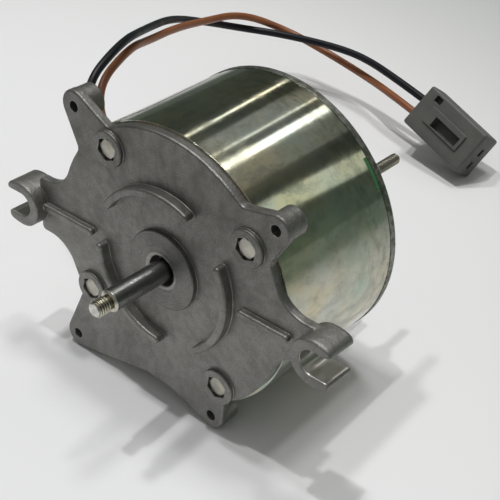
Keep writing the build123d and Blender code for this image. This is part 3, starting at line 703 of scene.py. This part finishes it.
# corner normals taken over from the source for every face that is still the same
def keepNormals(data, source):
    def corners(mesh):
        for face in mesh.polygons:
            middle = tuple(round(value, meshRules["middleDigits"]) for value in face.center)
            for loop in face.loop_indices:
                place = mesh.vertices[mesh.loops[loop].vertex_index].co
                yield loop, (middle, tuple(round(value, meshRules["placeDigits"]) for value in place))

    known = {spot: tuple(source.corner_normals[loop].vector) for loop, spot in corners(source)}
    normals = [(0, 0, 0)] * len(data.loops)
    for loop, spot in corners(data):
        normals[loop] = known.get(spot, (0, 0, 0))
    print("normals kept:", sum(normal != (0, 0, 0) for normal in normals), "of", len(normals))
    data.normals_split_custom_set(normals)


# plain cuts across one axis
def cutAcross(mesh, axis, places):
    for place in places:
        spot = Vector((0, 0, 0))
        spot[axis] = place
        normal = Vector((0, 0, 0))
        normal[axis] = 1
        geometry = mesh.verts[:] + mesh.edges[:] + mesh.faces[:]
        bmesh.ops.bisect_plane(mesh, geom=geometry, plane_co=spot, plane_no=normal,
                               dist=meshRules["cutMargin"])


# a profile of (radius, height) points spun about Z
def spinProfile(mesh, profile, steps, closed=False):
    verts = [mesh.verts.new((radius, 0, height)) for radius, height in profile]
    ring = zip(verts, verts[1:] + verts[:1]) if closed else zip(verts, verts[1:])
    edges = [mesh.edges.new(pair) for pair in ring]
    bmesh.ops.spin(mesh, geom=verts + edges, cent=(0, 0, 0), axis=(0, 0, 1), angle=2 * math.pi, steps=steps,
                   use_merge=True, use_duplicate=False)


# one turn of a thread as (level, share of the pitch), and how far the tip pulls its crests in
threadForm = {
    "profile": [("root", 0), ("crest", 0.36), ("crest", 0.5), ("root", 0.86), ("root", 1)],
    "tipShare": 0.9,
}


# a screw thread about Z from low to high, capped at both ends, its crests pulled in at the tip
def spinThread(mesh, radius, root, pitch, low, high, steps, tip):
    start = low - pitch
    turns = math.ceil((high - low) / pitch) + 2
    levels = {"root": root, "crest": radius}
    thread = bmesh.new()
    points = [(levels[level], 0, start + share * pitch) for level, share in threadForm["profile"]]
    verts = [thread.verts.new(point) for point in points]
    edges = [thread.edges.new(pair) for pair in zip(verts, verts[1:])]
    bmesh.ops.spin(thread, geom=verts + edges, cent=(0, 0, 0), axis=(0, 0, 1), angle=2 * math.pi * turns,
                   steps=steps * turns, dvec=(0, 0, pitch / steps), use_duplicate=False)
    bmesh.ops.remove_doubles(thread, verts=thread.verts, dist=meshRules["threadMerge"])
    for height, direction in ((low, -1), (high, 1)):
        geometry = thread.verts[:] + thread.edges[:] + thread.faces[:]
        bmesh.ops.bisect_plane(thread, geom=geometry, plane_co=(0, 0, height), plane_no=(0, 0, direction),
                               clear_outer=True)
        rim = [edge for edge in thread.edges if edge.is_boundary
               and all(abs(vert.co.z - height) < meshRules["onPlane"] for vert in edge.verts)]
        bmesh.ops.edgeloop_fill(thread, edges=rim)
    for vert in thread.verts:
        limit = max(root * threadForm["tipShare"], radius - max(0, vert.co.z - (high - tip)))
        across = math.hypot(vert.co.x, vert.co.y)
        if across > limit:
            vert.co.x *= limit / across
            vert.co.y *= limit / across
    joinMesh(mesh, thread, Matrix())


def joinMesh(mesh, other, place):
    bmesh.ops.transform(other, matrix=place, verts=other.verts)
    holder = bpy.data.meshes.new("holder")
    other.to_mesh(holder)
    other.free()
    mesh.from_mesh(holder)
    bpy.data.meshes.remove(holder)


# cast flange: the frame's shape, the hooks' jaws thinned to rounded ends, a narrow ring in the shaft hole
flangeShape = {
    "tip": 0.0747,
    "upperEnd": 0.35,
    "lowerEnd": 0.55,
    "cuts": 12,
    "holeRing": [(0.00709, 0.00206), (0.0061, 0.0019), (0.0057, 0.0016), (0.0057, 0.001), (0.0063, 0.001)],
    "ringSteps": 64,
}


def makeFlange(shape):
    mesh = bmesh.new()
    mesh.from_mesh(frame["nodes"]["front_flange"].data)
    bmesh.ops.remove_doubles(mesh, verts=mesh.verts, dist=meshRules["merge"])
    length = shape["tip"] - hooks["center"]
    for step in range(shape["cuts"]):
        place = hooks["center"] + length * math.sin(math.pi / 2 * step / shape["cuts"])
        cutAcross(mesh, 0, (-place, place))
    for vert in mesh.verts:
        along = (abs(vert.co.x) - hooks["center"]) / length
        middle = hooks["leftHeight"] if vert.co.x < 0 else 0
        depth = abs(vert.co.z - middle) - hooks["slotRadius"]
        if along > 0 and depth > 0:
            upper = vert.co.z > middle
            end = shape["upperEnd"] if upper else shape["lowerEnd"]
            share = end + (1 - end) * math.sqrt(max(0, 1 - along ** 2))
            vert.co.z = middle + (hooks["slotRadius"] + depth * share) * (1 if upper else -1)
    ring = bmesh.new()
    spinProfile(ring, shape["holeRing"], shape["ringSteps"], closed=True)
    joinMesh(mesh, ring, Matrix.Rotation(math.pi / 2, 4, "X"))
    piece = newPiece("castFlange", mesh, "cast_flange", "motor_body", ["front_flange"])
    keepNormals(piece.data, frame["nodes"]["front_flange"].data)


# shaft: ground journal, undercut, threaded end with a centre hole; Z runs to the drive end
shaftShape = {
    "radius": 0.004, "chamfer": 0.0005, "steps": 72, "shoulder": 0.0008, "reach": 0.0262,
    "undercut": 0.00245, "undercutWidth": 0.0012, "groove": 0.00355, "grooveStart": -0.0022,
    "grooveEnd": -0.0031, "seat": 0.005, "seatStart": -0.0101, "seatEnd": -0.055, "tail": -0.06405,
    "stubRadius": 0.003, "stubRoot": 0.0025, "stubEnd": 0.0326, "stubChamfer": 0.0007, "stubSteps": 48,
    "pitch": 0.001, "threadSteps": 40, "threadGap": 0.00005, "endEdge": 0.0002, "endShare": 0.93,
    "centreHole": 0.0009, "holeTaper": (0.4, 0.7),
}


def makeShaft(shape):
    radius, chamfer, reach, tail = [shape[key] for key in ("radius", "chamfer", "reach", "tail")]
    seat, groove, undercut = [shape[key] for key in ("seat", "groove", "undercut")]
    step = reach - shape["shoulder"]
    mesh = bmesh.new()
    spinProfile(mesh, [
        (0, tail), (radius - chamfer, tail), (radius, tail + chamfer), (radius, shape["seatEnd"]),
        (seat, shape["seatEnd"]), (seat, shape["seatStart"]), (radius, shape["seatStart"]),
        (radius, shape["grooveEnd"]), (groove, shape["grooveEnd"]), (groove, shape["grooveStart"]),
        (radius, shape["grooveStart"]), (radius, step), (0, step),
    ], shape["steps"])
    shaft = newPiece("shaft", mesh, "ground_steel", "rotor", ["motor_shaft"])
    mesh = bmesh.new()
    end, hole = shape["stubEnd"], shape["centreHole"]
    across, down = shape["holeTaper"]
    spinProfile(mesh, [
        (0, step), (radius, step), (radius - shape["shoulder"], reach), (undercut, reach),
        (undercut, end - shape["endEdge"]), (undercut * shape["endShare"], end), (hole, end),
        (hole * across, end - hole * down), (0, end - hole),
    ], shape["stubSteps"])
    spinThread(mesh, shape["stubRadius"], shape["stubRoot"], shape["pitch"], reach + shape["undercutWidth"],
               end - shape["threadGap"], shape["threadSteps"], shape["stubChamfer"])
    stub = newPiece("shaftThread", mesh, "threadSteel", "rotor", [])
    for piece in (shaft, stub):
        piece.data.transform(Matrix.Rotation(math.pi / 2, 4, "X"))


makeFlange(flangeShape)
print("flange hooks rounded")
makeShaft(shaftShape)
print("shaft turned")


# through bolts: hexagon heads sunk in the flange, threaded ends behind the rear plate
boltShape = {
    "circle": 0.0445, "firstAngle": 35, "count": 4, "flats": 0.007, "turn": 20, "headTop": -0.0008,
    "headFoot": 0.0025, "edge": 0.0004, "edgeSteps": 3, "shankOverlap": 0.0005, "shankShare": 0.97,
    "steps": 32, "radius": 0.002, "root": 0.00165, "coreShare": 0.98, "pitch": 0.0007,
    "threadStart": 0.0606, "threadSteps": 28, "threadGap": 0.00005, "end": 0.0785, "endEdge": 0.0001,
    "endShare": 0.9, "tip": 0.0004,
}


def makeBolt(shape):
    bolt = bmesh.new()
    corner = shape["flats"] / 2 / math.cos(math.pi / 6)
    turn = Matrix.Rotation(math.radians(-shape["turn"]), 4, "Z")
    bmesh.ops.create_circle(bolt, cap_ends=True, segments=6, radius=corner,
                            matrix=Matrix.Translation((0, 0, shape["headFoot"])) @ turn)
    raised = bmesh.ops.extrude_face_region(bolt, geom=[face for face in bolt.faces])
    lifted = [item for item in raised["geom"] if isinstance(item, bmesh.types.BMVert)]
    bmesh.ops.translate(bolt, verts=lifted, vec=(0, 0, shape["headTop"] - shape["headFoot"]))
    sharp = [edge for edge in bolt.edges if all(vert in lifted for vert in edge.verts)]
    bmesh.ops.bevel(bolt, geom=sharp, offset=shape["edge"], affect="EDGES", segments=shape["edgeSteps"],
                    profile=0.5, material=-1)
    shank, core = shape["radius"] * shape["shankShare"], shape["root"] * shape["coreShare"]
    foot, start, end = shape["headFoot"] - shape["shankOverlap"], shape["threadStart"], shape["end"]
    spinProfile(bolt, [
        (0, foot), (shank, foot), (shank, start), (core, start), (core, end - shape["endEdge"]),
        (shape["root"] * shape["endShare"], end), (0, end),
    ], shape["steps"])
    spinThread(bolt, shape["radius"], shape["root"], shape["pitch"], start, end - shape["threadGap"],
               shape["threadSteps"], shape["tip"])
    return bolt


def makeBolts(shape):
    mesh = bmesh.new()
    lay = Matrix.Rotation(-math.pi / 2, 4, "X")
    for step in range(shape["count"]):
        angle = math.radians(shape["firstAngle"] + 360 * step / shape["count"])
        place = Matrix.Translation((shape["circle"] * math.cos(angle), 0, shape["circle"] * math.sin(angle)))
        joinMesh(mesh, makeBolt(shape), place @ lay)
    newPiece("throughBolts", mesh, "zinc_fastener", "motor_body", ["through_bolts"])


makeBolts(boltShape)
print("bolts made")

# brush springs: helical coils wound along each brush holder towards its end wall
springShape = {
    "radius": 0.0022, "wire": 0.0003, "wireSides": 10, "turns": 6, "turnSteps": 24, "start": 0.0267,
    "end": 0.03405, "station": 0.0514, "angles": {"a": 80, "b": 170}, "travel": 0.004,
}


def makeSpring(shape, letter):
    angle = math.radians(shape["angles"][letter])
    axis = Vector((math.cos(angle), 0, math.sin(angle)))
    station = Vector((0, shape["station"], 0))
    rise = shape["end"] - shape["start"]
    steps = shape["turnSteps"] * shape["turns"]
    mesh = bmesh.new()
    upright = Matrix.Translation((shape["radius"], 0, 0)) @ Matrix.Rotation(math.pi / 2, 4, "X")
    bmesh.ops.create_circle(mesh, segments=shape["wireSides"], radius=shape["wire"], matrix=upright)
    bmesh.ops.spin(mesh, geom=mesh.verts[:] + mesh.edges[:], cent=(0, 0, 0), axis=(0, 0, 1),
                   angle=2 * math.pi * shape["turns"], steps=steps, dvec=(0, 0, rise / steps),
                   use_duplicate=False)
    bmesh.ops.holes_fill(mesh, edges=[edge for edge in mesh.edges if edge.is_boundary], sides=0)
    turn = axis.to_track_quat("Z", "Y").to_matrix().to_4x4()
    place = Matrix.Translation(axis * shape["start"] + station) @ turn
    bmesh.ops.transform(mesh, matrix=place, verts=mesh.verts)
    piece = newPiece("brushSpring" + letter.upper(), mesh, "spring_steel", "motor_body",
                     ["brush_spring_" + letter])
    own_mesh(piece)


for letter in springShape["angles"]:
    makeSpring(springShape, letter)
print("brush springs wound")

# connector frame: X from the wire face to the free end, Z out of the latch side
connectorPlace = Matrix((
    (0.943968, 0.32943, -0.020003, -0.025),
    (-0.202125, 0.529139, -0.82411, 0.193),
    (-0.260902, 0.781977, 0.566076, -0.0185),
    (0, 0, 0, 1),
))
connectorShape = {
    "length": 0.037, "width": 0.021, "height": 0.013, "round": 0.0012, "roundSteps": 4,
    "offsets": (0.0024, -0.0048),
    "cavityWidth": 0.0038, "cavityHeight": 0.0024, "cavityDepth": 0.022, "endMargin": 0.001,
    "latchLow": (0.008, -0.004), "latchHigh": (0.03, 0.004), "latchTop": 0.0073,
    "windowLow": (0.0125, -0.0036), "windowHigh": (0.0285, 0.0014), "windowDepth": 0.0042,
    "notchLow": (0.0055, 0.0058), "notchHigh": (0.0095, 0.0088), "notchDepth": 0.0028,
}


# faces that look along an axis and lie inside a box, moved out or in with new walls
def pushFaces(mesh, axis, low, high, move, facing=0.9):
    chosen = []
    for face in mesh.faces:
        middle = face.calc_center_median()
        if face.normal[axis] > facing and all(low[i] < middle[i] < high[i] for i in range(3)):
            chosen.append(face)
    raised = bmesh.ops.extrude_face_region(mesh, geom=chosen)
    bmesh.ops.delete(mesh, geom=chosen, context="FACES_ONLY")
    verts = [item for item in raised["geom"] if isinstance(item, bmesh.types.BMVert)]
    bmesh.ops.translate(mesh, verts=verts, vec=move)
    mesh.normal_update()


def makeConnector(shape):
    mesh = bmesh.new()
    length, tall = shape["length"], shape["cavityHeight"] / 2
    bmesh.ops.create_cube(mesh, size=1, matrix=Matrix.Translation((length / 2, 0, 0))
                          @ Matrix.Diagonal((length, shape["width"], shape["height"], 1)))
    bmesh.ops.bevel(mesh, geom=mesh.edges[:], offset=shape["round"], affect="EDGES",
                    segments=shape["roundSteps"], profile=0.5, material=-1)
    moves = {"latch": shape["latchTop"] - shape["height"] / 2, "window": -shape["windowDepth"],
             "notch": -shape["notchDepth"]}
    for form in moves:
        for axis in (0, 1):
            cutAcross(mesh, axis, (shape[form + "Low"][axis], shape[form + "High"][axis]))
    half = shape["cavityWidth"] / 2
    cavities = [(offset - half, offset + half) for offset in shape["offsets"]]
    for cavity in cavities:
        cutAcross(mesh, 1, cavity)
    cutAcross(mesh, 2, (-tall, tall))
    mesh.normal_update()
    for form, move in moves.items():
        pushFaces(mesh, 2, (*shape[form + "Low"], 0), (*shape[form + "High"], 1), (0, 0, move))
    for left, right in cavities:
        pushFaces(mesh, 0, (length - shape["endMargin"], left, -tall),
                  (length + shape["endMargin"], right, tall), (-shape["cavityDepth"], 0, 0))
    bmesh.ops.transform(mesh, matrix=connectorPlace, verts=mesh.verts)
    return newPiece("connectorBody", mesh, "connector", "motor_body", ["connector_housing"])


# ribbed rubber seal about each lead where it enters the connector; ribs are (share of the radius, height)
sealShape = {
    "radius": 0.0029, "reach": 0.0015, "depth": 0.003, "bore": 0.00172, "steps": 40,
    "ribs": [(0.82, 0), (0.9, 0.0002), (0.97, 0.0006), (0.84, 0.0009), (0.84, 0.0011), (1, 0.0014)],
}


def makeSeals(shape, offsets):
    mesh = bmesh.new()
    radius, bore, low, high = shape["radius"], shape["bore"], -shape["reach"], shape["depth"]
    ribs = [(radius * share, low + rise) for share, rise in shape["ribs"]]
    lay = Matrix.Rotation(math.pi / 2, 4, "Y")
    for offset in offsets:
        seal = bmesh.new()
        spinProfile(seal, [(bore, low), *ribs, (radius, high), (bore, high)], shape["steps"], closed=True)
        joinMesh(mesh, seal, connectorPlace @ Matrix.Translation((0, offset, 0)) @ lay)
    return newPiece("wireSeals", mesh, "rubber", "motor_body", ["wire_seals"])


connectorBody = makeConnector(connectorShape)
wireSeals = makeSeals(sealShape, connectorShape["offsets"])
print("connector made")


# floor, tipped so that the motor rests on its lower lugs and its rear rim, pale round the motor; painted shade
# darkens it further off, and far away it is painted dark green, darker to the left
floorShape = {
    "size": 8.0, "height": -0.05833, "slope": 0.10196, "colour": (0.84, 0.84, 0.845),
    # dim, far and farLeft are painted shade, set by the distance from the middle
    "shade": (0.81, 0.81, 0.815), "shading": (6, 2, 0.5), "dim": (0.65, 0.645, 0.64),
    "far": (0.205, 0.25, 0.21), "farLeft": (0.1, 0.12, 0.1), "middle": (-0.17, -0.12), "dimFrom": 0.22,
    "dimTo": 0.5, "fadeFrom": 0.34, "fadeTo": 0.66, "leftBlend": (0.1, 0.6), "roughness": 0.55,
    "shine": 0.3,
}


def makeFloor(shape):
    finish = Finish("paleTable")
    x, y, _ = finish.axes()
    away = ((x - shape["middle"][0]) ** 2 + (y - shape["middle"][1]) ** 2) ** 0.5
    colour = finish.blend(shape["colour"], shape["shade"], finish.noise(*shape["shading"]))
    # painted shade: the floor darkens with distance from the middle
    colour = finish.blend(colour, shape["dim"], away.ease(shape["dimFrom"], shape["dimTo"]))
    # painted shade: far off the floor turns dark green, darker to the left, the dark room that the metal
    # mirrors
    far = finish.blend(shape["far"], shape["farLeft"], (-1 * x).ease(*shape["leftBlend"]))
    colour = finish.blend(colour, far, away.ease(shape["fadeFrom"], shape["fadeTo"]))
    finish.set({"Base Color": colour, "Roughness": shape["roughness"], "Specular IOR Level": shape["shine"]})
    mesh = bmesh.new()
    bmesh.ops.create_grid(mesh, x_segments=1, y_segments=1, size=shape["size"] / 2)
    tip = Matrix.Rotation(math.atan(shape["slope"]), 4, "X")
    bmesh.ops.transform(mesh, matrix=Matrix.Translation((0, 0, shape["height"])) @ tip, verts=mesh.verts)
    data = bpy.data.meshes.new("floor")
    mesh.to_mesh(data)
    mesh.free()
    data.materials.append(finish.material)
    floor = bpy.data.objects.new("floor", data)
    scene.collection.objects.link(floor)


makeFloor(floorShape)

# lamps far off, by how far each leans from straight above
farLamps = [
    {"name": "lampTop", "lean": (-0.05, 0.2), "strength": 0.5, "angle": 9},
    {"name": "lampRear", "lean": (0.1, 0.14), "strength": 0.36, "angle": 5},
    {"name": "lampLeft", "lean": (-0.34, -0.02), "strength": 0.68, "angle": 4},
    {"name": "lampFront", "lean": (-0.115, -0.09), "strength": 0.7, "angle": 2},
]

# ceiling lamps behind the motor, which the can mirrors as bands along its length
ceilingLamps = [
    {"name": "tubeLeft", "start": (-0.56, 0.73, 0.81), "end": (-0.6, 0.93, 0.64), "width": 0.022,
     "glow": 4.0, "colour": (1, 0.97, 0.84)},
    {"name": "tubeMiddle", "start": (-0.14, 0.74, 0.975), "end": (-0.2, 0.95, 0.84), "width": 0.014,
     "glow": 3.0, "colour": (1, 0.98, 0.9)},
    {"name": "panelBright", "start": (0.056, 0.74, 0.98), "end": (-0.018, 0.957, 0.86), "width": 0.095,
     "glow": 3.5, "colour": (1, 1, 0.97)},
    {"name": "panelLeft", "start": (-0.26, 0.74, 0.945), "end": (-0.31, 0.93, 0.8), "width": 0.25,
     "glow": 0.25, "colour": (1, 1, 0.98)},
    {"name": "panelRight", "start": (0.26, 0.75, 0.935), "end": (0.2, 0.95, 0.825), "width": 0.32,
     "glow": 0.15, "colour": (1, 1, 0.9)},
    {"name": "panelLow", "start": (0.68, 0.76, 0.7), "end": (0.68, 0.97, 0.5), "width": 0.2,
     "glow": 0.75, "colour": (0.93, 1, 0.88)},
]


def makeLamps():
    for lamp in farLamps:
        data = bpy.data.lights.new(lamp["name"], "SUN")
        data.energy = lamp["strength"]
        data.angle = math.radians(lamp["angle"])
        piece = bpy.data.objects.new(lamp["name"], data)
        piece.rotation_euler = Vector((*lamp["lean"], 1)).to_track_quat("Z", "Y").to_euler()
        scene.collection.objects.link(piece)
    for lamp in ceilingLamps:
        start, end = Vector(lamp["start"]), Vector(lamp["end"])
        middle = (start + end) / 2
        along = (end - start).normalized()
        away = (middle - along * middle.dot(along)).normalized()
        data = bpy.data.lights.new(lamp["name"], "AREA")
        data.shape = "RECTANGLE"
        data.size, data.size_y = lamp["width"], (end - start).length
        data.energy = lamp["glow"] * math.pi * data.size * data.size_y
        data.color = lamp["colour"]
        piece = bpy.data.objects.new(lamp["name"], data)
        turn = Matrix((along.cross(away), along, away)).transposed().to_4x4()
        piece.matrix_world = Matrix.Translation(middle) @ turn
        scene.collection.objects.link(piece)


# room: dim and greenish behind, lighter above and in front; stops run from the horizon to straight above
upperStops = [(0.62, (0.063, 0.071, 0.06)), (0.76, (0.2, 0.2, 0.185)), (0.88, (0.42, 0.42, 0.41)),
              (1.0, (0.5, 0.5, 0.5))]
roomLook = {
    "rear": [(0.0, (0.125, 0.17, 0.13)), (0.3, (0.09, 0.115, 0.092)), *upperStops],
    "rearLeft": [(0.0, (0.07, 0.085, 0.07)), *upperStops],
    "front": [(0.0, (0.12, 0.12, 0.12)), (0.5, (0.2, 0.2, 0.2)), (1.0, (0.5, 0.5, 0.5))],
    "leftBlend": (0.1, 0.5),
    "frontBlend": (-0.2, 0.5),
}


def makeWorld(look):
    world = bpy.data.worlds.new("room")
    scene.world = world
    world.use_nodes = True
    world.node_tree.nodes.clear()
    room = Sockets(world.node_tree)
    x, y, z = room.axes(room.node("ShaderNodeTexCoord", out="Generated"))
    rear, rearLeft, front = [room.node("ShaderNodeValToRGB", {"stops": look[key]}, {"Fac": z})
                             for key in ("rear", "rearLeft", "front")]
    rear = room.blend(rear, rearLeft, (-1 * x).ease(*look["leftBlend"]))
    colour = room.blend(rear, front, (-1 * y).ease(*look["frontBlend"]))
    glow = room.node("ShaderNodeBackground", feeds={"Color": colour})
    room.node("ShaderNodeOutputWorld", feeds={"Surface": glow}, out=None)


makeLamps()
makeWorld(roomLook)
print("stage lit")
